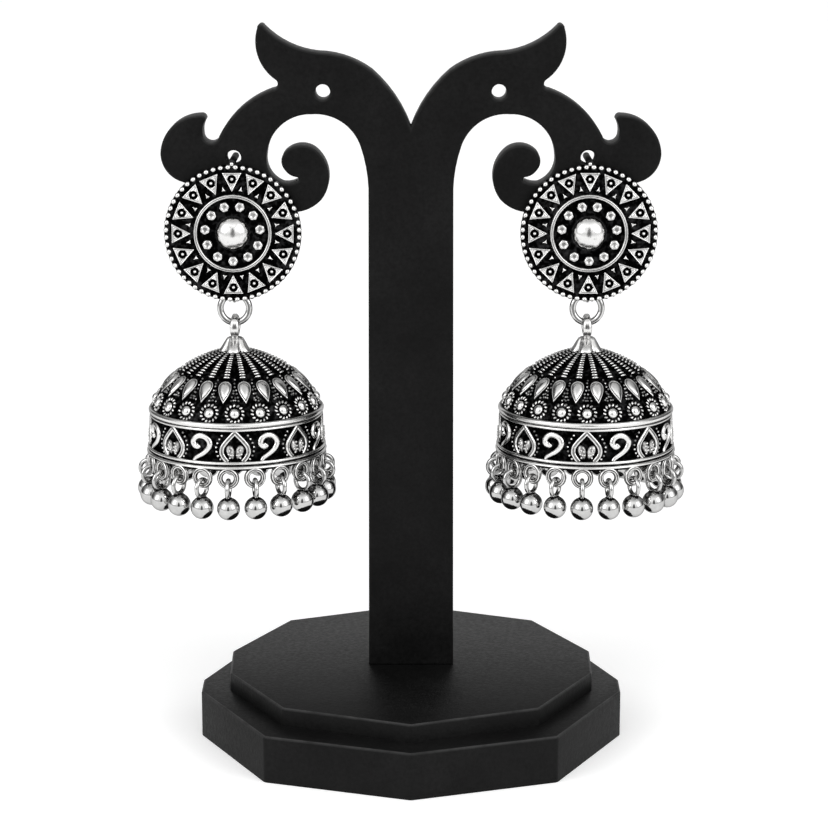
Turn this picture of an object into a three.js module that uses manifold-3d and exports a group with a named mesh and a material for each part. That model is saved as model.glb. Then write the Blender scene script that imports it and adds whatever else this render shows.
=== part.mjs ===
// A pair of bell-shaped drop earrings hanging on a black scrolled display stand.
// Millimetres. +Z is up, -Y faces the viewer, and the origin is under the middle of the base.
import * as THREE from 'three';
import { mergeVertices } from 'three/addons/utils/BufferGeometryUtils.js';
import Module from 'manifold-3d';

const wasm = await Module();
wasm.setup();

// Stand: a board 5 mm thick on a base of two ten-sided steps
const BOARD_THICKNESS = 5;
const HOLE_RADIUS = 1.32;
const HOLE_SIDES = 12;
const BARE_HOLE = { out: 15.65, z: 118.25 };
const USED_HOLE = { out: 31.6, z: 106.55 };
const ARC_STEP = THREE.MathUtils.degToRad(28);
const LOWER_STEP_HEIGHT = 8.5;
const UPPER_STEP_HEIGHT = 3.3;
const BASE_TOP = LOWER_STEP_HEIGHT + UPPER_STEP_HEIGHT;

// Right half of each step's plan, from the front corner to the back one
const UPPER_STEP_PLAN = [
  { out: 0, y: -35.2 },
  { out: 22.8, y: -26.5 },
  { out: 33.4, y: -7.2 },
  { out: 33.8, y: 6 },
  { out: 23.9, y: 25.4 },
  { out: 0, y: 35.6 },
];
const LOWER_STEP_PLAN = [
  { out: 0, y: -40.6 },
  { out: 25.8, y: -32 },
  { out: 38.7, y: -7.9 },
  { out: 38.8, y: -1 },
  { out: 27, y: 29.5 },
  { out: 0, y: 40.6 },
];

// One side of the board, from the notch between the arms round to the column's foot.
// Each row is an arc from the end of the row before, through a middle point, to its own end.
const BOARD_START = { out: 0, z: 112.1 };
const BOARD_ARCS = [
  { name: 'crest from the notch', midOut: 2.95, midZ: 117.7, out: 6.9, z: 122.05 },
  { name: 'crest shoulder', midOut: 10.9, midZ: 124.2, out: 16.4, z: 125.25 },
  { name: 'crest up to the tip', midOut: 22.6, midZ: 127.25, out: 25.9, z: 129.8 },
  { name: 'flame tip', midOut: 26.55, midZ: 130.15, out: 27.1, z: 129.5 },
  { name: 'flame outer side', midOut: 27.35, midZ: 125.6, out: 23.9, z: 120.3 },
  { name: 'notch under the flame', midOut: 23.65, midZ: 119.35, out: 24.5, z: 118.75 },
  { name: 'arm upper edge', midOut: 30.05, midZ: 115.6, out: 34.1, z: 110.4 },
  { name: 'valley', midOut: 35.55, midZ: 109.25, out: 37, z: 110.7 },
  { name: 'lobe inner side', midOut: 36.95, midZ: 112.1, out: 36.45, z: 113.3 },
  { name: 'lobe tip', midOut: 36.75, midZ: 114.0, out: 37.5, z: 114.2 },
  { name: 'lobe outer side', midOut: 42.4, midZ: 112.2, out: 44.65, z: 107.3 },
  { name: 'lobe underside', midOut: 43.6, midZ: 104.1, out: 40.9, z: 102.2 },
  { name: 'arm underside', midOut: 34.6, midZ: 100.6, out: 27.4, z: 100.7 },
  { name: 'curl underside', midOut: 21.5, midZ: 96.75, out: 16, z: 99 },
  { name: 'curl inner side', midOut: 14.65, midZ: 103.8, out: 17, z: 108.05 },
  { name: 'curl top', midOut: 19.6, midZ: 108.85, out: 22.05, z: 107.95 },
  { name: 'curl outer side', midOut: 23.1, midZ: 106, out: 22.4, z: 104.2 },
  { name: 'slot upper side', midOut: 21.4, midZ: 103.35, out: 20.4, z: 103.05 },
  { name: 'slot end', midOut: 20.1, midZ: 102.65, out: 20.5, z: 102.35 },
  { name: 'slot lower side', midOut: 21.6, midZ: 102, out: 22.8, z: 102 },
  { name: 'arch outer wall', midOut: 25, midZ: 103.75, out: 25.7, z: 107 },
  { name: 'arch crown', midOut: 23.5, midZ: 111.9, out: 17.6, z: 114.25 },
  { name: 'arch inner wall', midOut: 12.2, midZ: 112.8, out: 9, z: 108.6 },
  { name: 'arch to column', midOut: 8.05, midZ: 105, out: 7.6, z: 101 },
];
const COLUMN_FOOT_HALF_WIDTH = 7.85;

// Earrings: where they hang
const EARRING_OUT = 31.85;
const DISC_BACK_Y = -2.8;
const DISC_Z = 93.2;
const RING_Y = -1.6;
const RING_Z = 79.2;
const SIDES = [
  { name: 'left', out: -1, bellTurn: 2.8, dropTurn: -1.8 },
  { name: 'right', out: 1, bellTurn: -2.8, dropTurn: -5.4 },
];

// Disc: radii from its middle, heights from its back
const DISC_SIDES = 32;
const DISC_RADIUS = 12.3;
const DISC_FIELD = 1.1;
const DISC_RIM = { inner: 11.3, crest: 11.95, height: 1.75 };
const DISC_INNER_RING = { inner: 6.2, crest: 6.65, outer: 7.1, height: 1.7 };
const DISC_BALL = { radius: 2.95, shoulder: 2.2, shoulderHeight: 2.35, height: 2.9 };
const TRIANGLES = { every: 2, proud: 0.6 };
const STUDS = { every: 3, proud: 0.7 };
const POST = { radius: 0.55, front: 1.2, back: 9.8, sides: 8, z: 105.95 };
const BACK_LOOP = { radius: 1.3, wire: 0.38, sides: 10, wireSides: 5, lift: 0.1 };

// Jump ring between the disc and the bell, in the plane of the board
const JUMP_RING = { radius: 2.6, wire: 0.6, sides: 12, wireSides: 5 };

// Bell: heights above the stand's underside
const BELL_SIDES = 48;
const DOME = { radius: 15.1, base: 61.3, height: 10.7, power: 1.58 };
const DOME_OUTER_RADII = [5, 10.7, 14.1];
const UPPER_RIM = { radius: 15.95, top: 61.3, crest: 60.8, bottom: 59.95, neck: 15.45 };
const LOWER_RIM = { radius: 16.3, top: 54.4, crest: 53.9, bottom: 53.2, neck: 15.7, foot: 16.4 };
const BELL_INSIDE = { mouth: 14.9, shoulder: 14.3, shoulderZ: 61, mid: 9.5, midZ: 67.2, top: 70.8 };
const PETALS = { every: 2, proud: 0.6 };
const LEAVES_AND_SCROLLS = { every: 3, proud: 0.7 };

// Cap and eye on top of the bell
const CAP = {
  lobes: 5,
  base: 72,
  brim: 2.9,
  neck: 1,
  neckZ: 74.3,
  waist: 1.9,
  waistZ: 73,
  notch: 0.72,
};
const EYE = { radius: 2, wire: 0.4, halfWidth: 0.8, z: 75.85, sides: 10, wireSides: 5 };

// Drops: a wire loop soldered under the rim, then a ball on its own loop
const DROPS = { count: 21, circle: 16.2 };
const FIXED_LOOP = { radius: 1.48, wire: 0.48, z: 51.5, leg: 2, circle: 15.85, steps: 6, wireSides: 5 };
const DROP_LOOP = { radius: 1.55, wire: 0.42, z: 49.6, sides: 10, wireSides: 5 };
const BALL = { radius: 2.06, z: 46, sides: 10, stacks: 4 };

const BLACK_BOARD = { color: 0x1b1b1c, roughness: 0.75, metalness: 0 };
const OXIDISED_SILVER = { color: 0x8f8f8d, roughness: 0.35, metalness: 1 };
const POLISHED_SILVER = { color: 0xc4c4c2, roughness: 0.2, metalness: 1 };

const QUARTER_TURN = Math.PI / 2;
const WELD_DISTANCE = 1e-4;
const UP = new THREE.Vector3(0, 0, 1);

function mesh(name, geometry, finish) {
  const piece = new THREE.Mesh(geometry, new THREE.MeshStandardMaterial(finish));
  piece.name = name;
  return piece;
}

// Closed solids for joining and cutting

function solidOf(geometry) {
  const bare = geometry.clone();
  bare.deleteAttribute('normal');
  bare.deleteAttribute('uv');
  const merged = mergeVertices(bare, WELD_DISTANCE);
  const corners = merged.index.array;
  const triangles = [];
  for (let i = 0; i < corners.length; i += 3) {
    const [a, b, c] = corners.slice(i, i + 3);
    if (a !== b && b !== c && c !== a) {
      triangles.push(a, b, c);
    }
  }
  return new wasm.Manifold(new wasm.Mesh({
    numProp: 3,
    vertProperties: new Float32Array(merged.getAttribute('position').array),
    triVerts: new Uint32Array(triangles),
  }));
}

function geometryOf(solid) {
  const cut = solid.getMesh();
  const geometry = new THREE.BufferGeometry();
  geometry.setAttribute('position', new THREE.BufferAttribute(cut.vertProperties, 3));
  geometry.setIndex(new THREE.BufferAttribute(cut.triVerts, 1));
  geometry.computeVertexNormals();
  return geometry;
}

function joined(geometries) {
  const solids = geometries.map(solidOf);
  return geometryOf(solids.slice(1).reduce((whole, solid) => whole.add(solid), solids[0]));
}

// Stand

function arcPoints(start, middle, end) {
  // Points after the start, on the circle through the three given points
  const a = middle.clone().sub(start);
  const b = end.clone().sub(start);
  const cross = 2 * a.cross(b);
  const centre = new THREE.Vector2(
    b.y * a.lengthSq() - a.y * b.lengthSq(),
    a.x * b.lengthSq() - b.x * a.lengthSq(),
  ).divideScalar(cross).add(start);
  const from = start.clone().sub(centre);
  const to = end.clone().sub(centre);
  let turn = to.angle() - from.angle();
  if (cross > 0 && turn < 0) turn += 2 * Math.PI;
  if (cross < 0 && turn > 0) turn -= 2 * Math.PI;
  const steps = Math.max(1, Math.ceil(Math.abs(turn) / ARC_STEP));
  const points = [];
  for (let i = 1; i <= steps; i++) {
    points.push(from.clone().rotateAround(new THREE.Vector2(), (turn * i) / steps).add(centre));
  }
  return points;
}

function boardOutline() {
  let here = new THREE.Vector2(BOARD_START.out, BOARD_START.z);
  const side = [here];
  for (const arc of BOARD_ARCS) {
    const middle = new THREE.Vector2(arc.midOut, arc.midZ);
    const end = new THREE.Vector2(arc.out, arc.z);
    side.push(...arcPoints(here, middle, end));
    here = end;
  }
  side.push(new THREE.Vector2(COLUMN_FOOT_HALF_WIDTH, BASE_TOP));
  const otherSide = side.slice(1).reverse().map((p) => new THREE.Vector2(-p.x, p.y));
  return [...side, ...otherSide];
}

function displayBoard() {
  const shape = new THREE.Shape(boardOutline());
  for (const hole of [BARE_HOLE, USED_HOLE]) {
    for (const { out } of SIDES) {
      const path = new THREE.Path();
      path.absarc(out * hole.out, hole.z, HOLE_RADIUS, 0, 2 * Math.PI);
      shape.holes.push(path);
    }
  }
  const geometry = new THREE.ExtrudeGeometry(shape, {
    depth: BOARD_THICKNESS,
    bevelEnabled: false,
    curveSegments: HOLE_SIDES / 2,
  });
  geometry.rotateX(QUARTER_TURN).translate(0, BOARD_THICKNESS / 2, 0);
  return mesh('display_board', geometry, BLACK_BOARD);
}

function baseStep(name, plan, bottom, height) {
  const half = plan.map((corner) => new THREE.Vector2(corner.out, corner.y));
  const otherHalf = half.slice(1, -1).reverse().map((p) => new THREE.Vector2(-p.x, p.y));
  const shape = new THREE.Shape([...half, ...otherHalf]);
  const geometry = new THREE.ExtrudeGeometry(shape, { depth: height, bevelEnabled: false });
  return mesh(name, geometry.translate(0, 0, bottom), BLACK_BOARD);
}

// Earring shapes

function turned(profile, sides) {
  // A solid of revolution about Z from rows of [radius, z]
  const points = profile.map(([radius, z]) => new THREE.Vector2(radius, z));
  return new THREE.LatheGeometry(points, sides).rotateX(QUARTER_TURN);
}

function raisedShell(rows, sides, peaks) {
  // A turned shell from rows of [radius, z] that start and end on the axis, as rings of corners.
  // A row's peaks raise every so many faces of the span above it to a low point.
  const points = [];
  const rings = rows.map(([radius, z]) => {
    const count = radius === 0 ? 1 : sides;
    const first = points.length;
    for (let i = 0; i < count; i++) {
      const turn = (2 * Math.PI * (i - 0.5)) / sides;
      points.push(new THREE.Vector3(radius * Math.sin(turn), -radius * Math.cos(turn), z));
    }
    return { corner: (i) => first + (i % count) };
  });
  const triangles = [];
  for (let row = 0; row + 1 < rows.length; row++) {
    for (let i = 0; i < sides; i++) {
      const low = rings[row];
      const high = rings[row + 1];
      const face = [low.corner(i), low.corner(i + 1), high.corner(i + 1), high.corner(i)];
      const peak = peaks.find((p) => p.row === row && (i - p.first) % p.every === 0);
      if (peak) {
        const [a, b, c, d] = face.map((corner) => points[corner]);
        const out = c.clone().sub(a).cross(d.clone().sub(b)).setLength(peak.proud);
        points.push(a.clone().add(b).add(c).add(d).divideScalar(4).add(out));
        face.forEach((corner, k) => triangles.push(corner, face[(k + 1) % 4], points.length - 1));
      } else {
        triangles.push(face[0], face[1], face[2], face[0], face[2], face[3]);
      }
    }
  }
  const geometry = new THREE.BufferGeometry().setFromPoints(points);
  return geometry.setIndex(triangles);
}

function wireRing({ radius, wire, sides, wireSides }) {
  return new THREE.TorusGeometry(radius, wire, wireSides, sides);
}

function discFace() {
  // Built face up about Z, with triangles on its field and studs round its ball
  const { inner, crest, height } = DISC_RIM;
  const ring = DISC_INNER_RING;
  const rows = [
    [0, 0],
    [DISC_RADIUS, 0],
    [crest, height],
    [inner, DISC_FIELD],
    [ring.outer, DISC_FIELD],
    [ring.crest, ring.height],
    [ring.inner, DISC_FIELD],
    [DISC_BALL.radius, DISC_FIELD],
    [DISC_BALL.shoulder, DISC_BALL.shoulderHeight],
    [0, DISC_BALL.height],
  ];
  const rowAt = (radius) => rows.findIndex((row) => row[0] === radius);
  return raisedShell(rows, DISC_SIDES, [
    { row: rowAt(inner), first: 0, ...TRIANGLES },
    { row: rowAt(ring.inner), first: 0, ...STUDS },
  ]);
}

function disc(name) {
  const face = discFace().rotateX(QUARTER_TURN).translate(0, DISC_BACK_Y, DISC_Z);
  const postLength = POST.front + POST.back;
  const post = new THREE.CylinderGeometry(POST.radius, POST.radius, postLength, POST.sides);
  post.translate(0, DISC_BACK_Y - POST.front + postLength / 2, POST.z);
  const ringTop = RING_Z + JUMP_RING.radius;
  const loop = wireRing(BACK_LOOP).rotateY(QUARTER_TURN);
  loop.translate(0, RING_Y, ringTop + BACK_LOOP.lift);
  return mesh(name, joined([face, post, loop]), OXIDISED_SILVER);
}

function jumpRing(name) {
  const geometry = wireRing(JUMP_RING).rotateX(QUARTER_TURN);
  return mesh(name, geometry.translate(0, RING_Y, RING_Z), POLISHED_SILVER);
}

function domeZ(radius) {
  const { base, height, power } = DOME;
  return base + height * (1 - (radius / DOME.radius) ** power) ** (1 / power);
}

function bellShell() {
  const inside = BELL_INSIDE;
  const rows = [
    [0, inside.top],
    [inside.mid, inside.midZ],
    [inside.shoulder, inside.shoulderZ],
    [inside.mouth, LOWER_RIM.bottom],
    [LOWER_RIM.foot, LOWER_RIM.bottom],
    [LOWER_RIM.radius, LOWER_RIM.crest],
    [LOWER_RIM.neck, LOWER_RIM.top],
    [UPPER_RIM.neck, UPPER_RIM.bottom],
    [UPPER_RIM.radius, UPPER_RIM.crest],
    [DOME.radius, UPPER_RIM.top],
    ...DOME_OUTER_RADII.toReversed().map((radius) => [radius, domeZ(radius)]),
    [0, domeZ(0)],
  ];
  const band = rows.findIndex(([, z]) => z === LOWER_RIM.top);
  const petalRow = rows.findIndex(([radius]) => radius === DOME_OUTER_RADII.at(-1));
  return raisedShell(rows, BELL_SIDES, [
    { row: band, first: 0, ...LEAVES_AND_SCROLLS },
    { row: petalRow, first: 1, ...PETALS },
  ]);
}

class StaplePath extends THREE.Curve {
  // Down one leg, round a half turn and up the other leg, in the XZ plane
  constructor(radius, leg) {
    super();
    this.radius = radius;
    this.leg = leg;
  }

  getPoint(t) {
    const bend = Math.PI * this.radius;
    const along = t * (2 * this.leg + bend) - this.leg;
    if (along < 0) return new THREE.Vector3(-this.radius, 0, -along);
    if (along > bend) return new THREE.Vector3(this.radius, 0, along - bend);
    const turn = along / this.radius;
    return new THREE.Vector3(-this.radius * Math.cos(turn), 0, -this.radius * Math.sin(turn));
  }
}

function fixedLoops(firstTurn) {
  const { radius, wire, z, leg, circle, steps, wireSides } = FIXED_LOOP;
  const section = [];
  for (let i = 0; i < wireSides; i++) {
    const turn = (i * 2 * Math.PI) / wireSides;
    section.push(new THREE.Vector2(wire * Math.cos(turn), wire * Math.sin(turn)));
  }
  const pieces = [];
  for (let i = 0; i < DROPS.count; i++) {
    const extrudePath = new StaplePath(radius, leg);
    const loop = new THREE.ExtrudeGeometry(new THREE.Shape(section), { steps, extrudePath });
    loop.translate(0, -circle, z);
    pieces.push(loop.rotateZ(firstTurn + (i * 2 * Math.PI) / DROPS.count));
  }
  return pieces;
}

function bell(name, firstLoopTurn) {
  return mesh(name, joined([bellShell(), ...fixedLoops(firstLoopTurn)]), OXIDISED_SILVER);
}

function cap(name) {
  const sides = 2 * CAP.lobes;
  const petals = turned([
    [0, CAP.base],
    [CAP.brim, CAP.base],
    [CAP.waist, CAP.waistZ],
    [CAP.neck, CAP.neckZ],
    [0, CAP.neckZ],
  ], sides);
  const points = petals.getAttribute('position');
  for (let i = 0; i < points.count; i++) {
    const sector = Math.round((Math.atan2(points.getX(i), -points.getY(i)) * sides) / (2 * Math.PI));
    const inset = sector % 2 && points.getZ(i) < CAP.waistZ ? CAP.notch : 1;
    points.setXY(i, points.getX(i) * inset, points.getY(i) * inset);
  }
  const eye = wireRing(EYE).scale(1, 1, EYE.halfWidth / EYE.wire).rotateY(QUARTER_TURN);
  eye.rotateX(Math.PI / EYE.sides).translate(0, 0, EYE.z);
  return mesh(name, joined([petals, eye]), OXIDISED_SILVER);
}

function drop(name) {
  const ball = new THREE.SphereGeometry(BALL.radius, BALL.sides, BALL.stacks);
  ball.translate(0, -DROPS.circle, BALL.z);
  const loop = wireRing(DROP_LOOP).rotateY(QUARTER_TURN).translate(0, -DROPS.circle, DROP_LOOP.z);
  return mesh(name, joined([ball, loop]), POLISHED_SILVER);
}

// Assembly

function earring({ name, out, bellTurn, dropTurn }) {
  const earringGroup = new THREE.Group();
  earringGroup.position.x = out * EARRING_OUT;
  earringGroup.add(disc(`${name}_disc`), jumpRing(`${name}_ring`));
  const bellGroup = new THREE.Group();
  bellGroup.position.y = RING_Y;
  const turn = THREE.MathUtils.degToRad(bellTurn);
  const firstDrop = THREE.MathUtils.degToRad(dropTurn);
  const body = bell(`${name}_bell`, firstDrop - turn);
  body.rotateOnAxis(UP, turn);
  bellGroup.add(body, cap(`${name}_cap`));
  for (let i = 0; i < DROPS.count; i++) {
    const piece = drop(`${name}_drop_${String(i + 1).padStart(2, '0')}`);
    piece.rotateOnAxis(UP, firstDrop + (i * 2 * Math.PI) / DROPS.count);
    bellGroup.add(piece);
  }
  earringGroup.add(bellGroup);
  return earringGroup;
}

const earringsOnStand = new THREE.Group();
earringsOnStand.add(
  baseStep('base_lower', LOWER_STEP_PLAN, 0, LOWER_STEP_HEIGHT),
  baseStep('base_upper', UPPER_STEP_PLAN, LOWER_STEP_HEIGHT, UPPER_STEP_HEIGHT),
  displayBoard(),
  ...SIDES.map(earring),
);

export default earringsOnStand;
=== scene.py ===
import math

import bmesh
import bpy
import numpy as np
from mathutils import Euler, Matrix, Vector


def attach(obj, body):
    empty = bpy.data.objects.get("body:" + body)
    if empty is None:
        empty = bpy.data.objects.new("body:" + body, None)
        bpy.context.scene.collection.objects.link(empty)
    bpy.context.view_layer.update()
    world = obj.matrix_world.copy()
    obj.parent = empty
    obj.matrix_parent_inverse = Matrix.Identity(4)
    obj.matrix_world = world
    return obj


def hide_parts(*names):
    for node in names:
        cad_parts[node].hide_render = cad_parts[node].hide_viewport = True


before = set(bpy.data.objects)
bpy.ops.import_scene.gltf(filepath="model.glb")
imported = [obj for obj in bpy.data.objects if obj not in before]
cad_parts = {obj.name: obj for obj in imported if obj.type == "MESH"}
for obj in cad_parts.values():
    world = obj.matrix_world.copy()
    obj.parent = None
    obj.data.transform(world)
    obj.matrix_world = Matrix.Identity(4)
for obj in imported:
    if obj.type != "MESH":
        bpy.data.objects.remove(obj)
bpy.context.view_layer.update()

# Lengths are millimetres in the row frame; meshes are turned into metres as they are made.
MM = 0.001
TURN = 2 * math.pi
RANDOM_SEED = 20

# The stand
BOARD_THICKNESS = 5.0
BOARD_EDGE = 0.45
BOARD_EDGE_STEPS = 2
HOLE_RADIUS = 1.32
HOLE_POINTS = 28
HOLES = ((15.65, 118.25), (31.6, 106.55))
COLUMN_FOOT = (7.85, 11.8)
ARC_STEP = math.radians(5)
ARC_LEAST_STEPS = 3
BOARD_START = (0.0, 112.1)
# Each arc runs from the end of the one before through a middle point to its own end: out, height.
BOARD_ARCS = (
    (2.95, 117.7, 6.9, 122.05),
    (10.9, 124.2, 16.4, 125.25),
    (22.6, 127.25, 25.9, 129.8),
    (26.55, 130.15, 27.1, 129.5),
    (27.35, 125.6, 23.9, 120.3),
    (23.65, 119.35, 24.5, 118.75),
    (30.05, 115.6, 34.1, 110.4),
    (35.55, 109.25, 37.0, 110.7),
    (36.95, 112.1, 36.45, 113.3),
    (36.75, 114.0, 37.5, 114.2),
    (42.4, 112.2, 44.65, 107.3),
    (43.6, 104.1, 40.9, 102.2),
    (34.6, 100.6, 27.4, 100.7),
    (21.5, 96.75, 16.0, 99.0),
    (14.65, 103.8, 17.0, 108.05),
    (19.6, 108.85, 22.05, 107.95),
    (23.1, 106.0, 22.4, 104.2),
    (21.4, 103.35, 20.4, 103.05),
    (20.1, 102.65, 20.5, 102.35),
    (21.6, 102.0, 22.8, 102.0),
    (25.0, 103.75, 25.7, 107.0),
    (23.5, 111.9, 17.6, 114.25),
    (12.2, 112.8, 9.0, 108.6),
    (8.05, 105.0, 7.6, 101.0),
)
STEP_EDGE = 0.38
STEP_EDGE_SEGMENTS = 3
STEP_EDGE_PROFILE = 0.5
LOWER_STEP = (0.0, 8.5)
UPPER_STEP = (8.5, 11.8)
LOWER_PLAN = ((0, -40.6), (25.8, -32), (38.7, -7.9), (38.8, -1), (27, 29.5), (0, 40.6))
UPPER_PLAN = ((0, -35.2), (22.8, -26.5), (33.4, -7.2), (33.8, 6), (23.9, 25.4), (0, 35.6))
# Metres within which points are welded, and the angle over which an edge is shaded sharp
WELD = 1e-6
SHARP_ANGLE = math.radians(28)
# A softened edge's faces have the normal's share along the axis of the face they soften between these.
# Those faces are painted paler the more they look up: edge wear with a painted highlight.
WORN_LIT_LEAN = (0.1, 0.97)
AXIS_Y, AXIS_Z = 1, 2

# The earrings
EARRING_OUT = 31.85
DISC_BACK_Y = -2.8
DISC_Z = 93.2
RING_Y = -1.6
RING_Z = 79.2
# Name, side of the stand, turn of the bell's pattern, turn of its drops
SIDES = (
    ("left", -1, math.radians(2.8), math.radians(-1.8)),
    ("right", 1, math.radians(-2.8), math.radians(-5.4)),
)

# The disc: heights stand out from its back; the rows of its profile are radius, height, polish
DISC_SIDES = 112
DISC_GROUND = 1.1
DISC_PROFILE = (
    (0.6, 0.0, 0.78), (11.2, 0.0, 0.78), (11.75, 0.08, 0.7), (12.15, 0.3, 0.5), (12.28, 0.7, 0.1),
    (12.2, 1.1, 0.0), (11.95, 1.28, 0.0), (11.4, 1.28, 0.0), (11.2, 1.1, 0.0), (7.1, 1.1, 0.0),
    (7.02, 1.3, 0.3), (6.93, 1.6, 1.0), (6.78, 1.68, 1.0), (6.68, 1.45, 0.15), (6.58, 1.68, 1.0),
    (6.42, 1.6, 1.0), (6.32, 1.3, 0.3), (6.24, 1.1, 0.0), (3.3, 1.1, 0.0), (3.05, 1.12, 0.2),
)
DISC_BALL = {"radius": 3.02, "base": 1.0, "sunk": 0.2, "height": 2.3, "rows": 14, "sides": 48}
# From the half-ball's foot up; the last value goes on to its top.
DISC_BALL_POLISH = (0.2, 0.35, 0.6, 0.75, 0.85, 0.92)
RIM_BEADS = {"count": 56, "circle": 11.9, "lift": 1.2, "across": 0.52, "along": 0.47, "out": 0.5}
TRIANGLES = {"count": 16, "base": 10.9, "apex": 7.45, "width": 3.55, "pit_at": 9.75, "edge_steps": 10}
# A triangle's rows: share of its outline, height, polish; a raised rim round a lower field
TRIANGLE_ROWS = (
    (1.0, 0.9, 0.0), (1.0, 1.45, 0.8), (0.94, 1.6, 1.0), (0.85, 1.6, 1.0), (0.8, 1.5, 0.5),
    (0.74, 1.5, 0.6), (0.7, 1.56, 0.92),
)
# The rows of the pit in it: radius, height, polish
PIT_ROWS = ((0.84, 1.56, 0.92), (0.78, 1.5, 0.6), (0.78, 1.1, 0.0))
TRIANGLE_DOT = {"radius": 0.4, "base": 1.0, "top": 1.62}
WEDGES = {
    "count": 16, "circle": 8.15, "width": 0.85, "length": 1.0, "top": 1.45, "edge_steps": 4, "rings": 5,
}
STUDS = {
    "count": 11, "circle": 4.95, "radius": 0.9, "petals": 6, "wave": 0.06, "points": 24, "stray": 0.01,
}
# A stud's rows: share of its outline, height, polish; the last is the floor of its dimple
STUD_ROWS = (
    (1.0, 0.9, 0.0), (1.0, 1.4, 0.6), (0.9, 1.72, 1.0), (0.7, 1.85, 1.0), (0.5, 1.76, 0.85),
    (0.3, 1.5, 0.55),
)
POST = {
    "radius": 0.62, "z": 105.85, "front": 1.2, "back": 9.8, "sides": 20, "round": 0.12, "polish_and_shade": 0.2,
}
LUG = {"radius": 0.45, "z": 105.6, "lift": 0.9, "polish_and_shade": 0.9}
BACK_LOOP = {"radius": 1.3, "wire": 0.38, "lift": 0.1, "steps": 28, "sides": 10, "polish_and_shade": 0.9}

# The jump ring
# Its line and rim values darken a line round each face and its inner and outer rims: painted shade.
JUMP_RING = {
    "radius": 2.6, "wire": 0.6, "steps": 72, "sides": 40, "groove": 0.12, "line": 0.16, "line_shade": 0.9,
    "rim_shade_level": 1.25, "rim_shade_power": 4,
}

# The bell
BELL_SIDES = 144
DOME = {"radius": 15.1, "base": 61.3, "height": 10.7, "power": 1.58, "start": 0.02}
# The least radius at which lengths round the bell are turned into angles
LEAST_RADIUS = 0.5
# Points down the dome's profile, and how many of them there are to a row of the bell's mesh
DOME_POINTS = 200
DOME_STRIDE = 4
BAND_TOP = (15.45, 59.95)
BAND_FOOT = (15.7, 54.4)
# Rows of the rims: radius, height, polish
UPPER_RIM = (
    (15.1, 61.32, 0.0), (15.5, 61.4, 0.5), (15.8, 61.32, 1.0), (15.95, 61.05, 1.0), (15.95, 60.75, 1.0),
    (15.82, 60.5, 0.9), (15.6, 60.42, 0.1), (15.6, 60.32, 0.1), (15.74, 60.24, 1.0), (15.78, 60.02, 1.0),
    (15.64, 59.86, 0.6), (15.45, 59.82, 0.0),
)
# The lower rim's last rows drop to a black foot below its ring: painted shade under the rim.
LOWER_RIM = (
    (15.7, 54.46, 0.0), (15.95, 54.5, 0.6), (16.2, 54.4, 1.0), (16.28, 54.2, 1.0), (16.18, 54.02, 1.0),
    (15.95, 53.92, 0.1), (15.95, 53.68, 0.0), (16.2, 53.6, 1.0), (16.4, 53.46, 1.0), (16.4, 53.28, 1.0),
    (16.25, 53.16, 0.6), (15.95, 53.12, 0.0), (15.85, 52.8, 0.0), (15.1, 52.76, 0.0), (14.95, 53.0, 0.1),
)
BELL_INSIDE = ((14.9, 53.4), (14.3, 61.0), (12.6, 64.6), (9.5, 67.2), (5.5, 69.8), (1.0, 70.8))
INSIDE_STEPS = 4
INSIDE_POLISH = 0.6
RIBS = {"count": 21, "inner": 2.9, "outer": 9.6, "beads": 12, "polish_and_shade": (0.65, 1.0)}
RIB_BEAD = {"wide": 0.68, "narrow": 0.36, "long": 0.19, "high": 0.36, "low": 0.17}
PETALS = {
    "middle": 12.15, "length": 4.75, "width": 2.35, "taper": 1.2, "points": 24,
    "crown_at": 0.66, "crown": 0.44,
}
# A petal's rows: share of its outline, height, polish; a thin rim, a groove inside it, then the swelling
PETAL_ROWS = (
    (1.0, -0.4, 0.0), (1.0, 0.1, 0.4), (0.95, 0.22, 1.0), (0.88, 0.23, 0.9), (0.82, 0.13, 0.15),
    (0.74, 0.22, 0.7), (0.6, 0.34, 1.0), (0.4, 0.41, 1.0), (0.2, 0.435, 1.0),
)
# Grains between the petals: radius of each row on the dome, and how many stand side by side in it
SEED_ROWS = ((10.1, 1), (10.7, 1), (11.3, 1), (11.9, 2), (12.4, 2), (12.9, 3), (13.3, 4))
SEED = {"radius": 0.19, "apart": 0.4, "lift": 0.08, "stray": 0.09, "polish_and_shade": (0.4, 0.8)}
ROSETTES = {
    "count": 20, "circle": 14.62, "ball": 0.95, "ball_height": 0.66, "ring": 1.5, "grains": 14,
    "wide": 0.22, "long": 0.36, "twist": -0.5, "lift": 0.08, "polish_and_shade": (0.65, 1.0),
}
# Leaves and scrolls in turn round the band; their points are across and up from its foot.
MOTIFS = 16
MOTIF_STEP = TURN / MOTIFS
LEAF_PATH = (
    (-1.35, 0.05), (-1.95, 0.75), (-2.35, 1.6), (-2.25, 2.6), (-1.65, 3.5), (-0.85, 4.4), (0.0, 5.3),
)
LEAF_WIRE = 0.45
LEAF_GROOVE = 0.42
LEAF_LOBE = {
    "x": 0.76, "y": 1.75, "length": 2.7, "width": 1.45, "taper": 0.6, "points": 16, "rings": 4,
    "height": 0.36, "lean": 0.3, "polish_and_shade": 0.68,
}
LEAF_GRAINS = (
    (0.62, 2.6), (0.95, 2.1), (0.5, 1.9), (1.1, 1.45), (0.7, 1.3), (0.9, 0.8), (0.35, 1.3),
)
LEAF_GRAIN = {"radius": 0.2, "lift": 0.34}
SCROLL_PATH = (
    (-0.4, 2.95), (-0.75, 2.6), (-1.25, 2.75), (-1.55, 3.35), (-1.25, 4.1), (-0.4, 4.55), (0.65, 4.4),
    (1.4, 3.8), (1.6, 3.1), (1.25, 2.25), (0.5, 1.5), (-0.4, 0.95), (-1.1, 0.5), (-1.4, 0.0),
)
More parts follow.
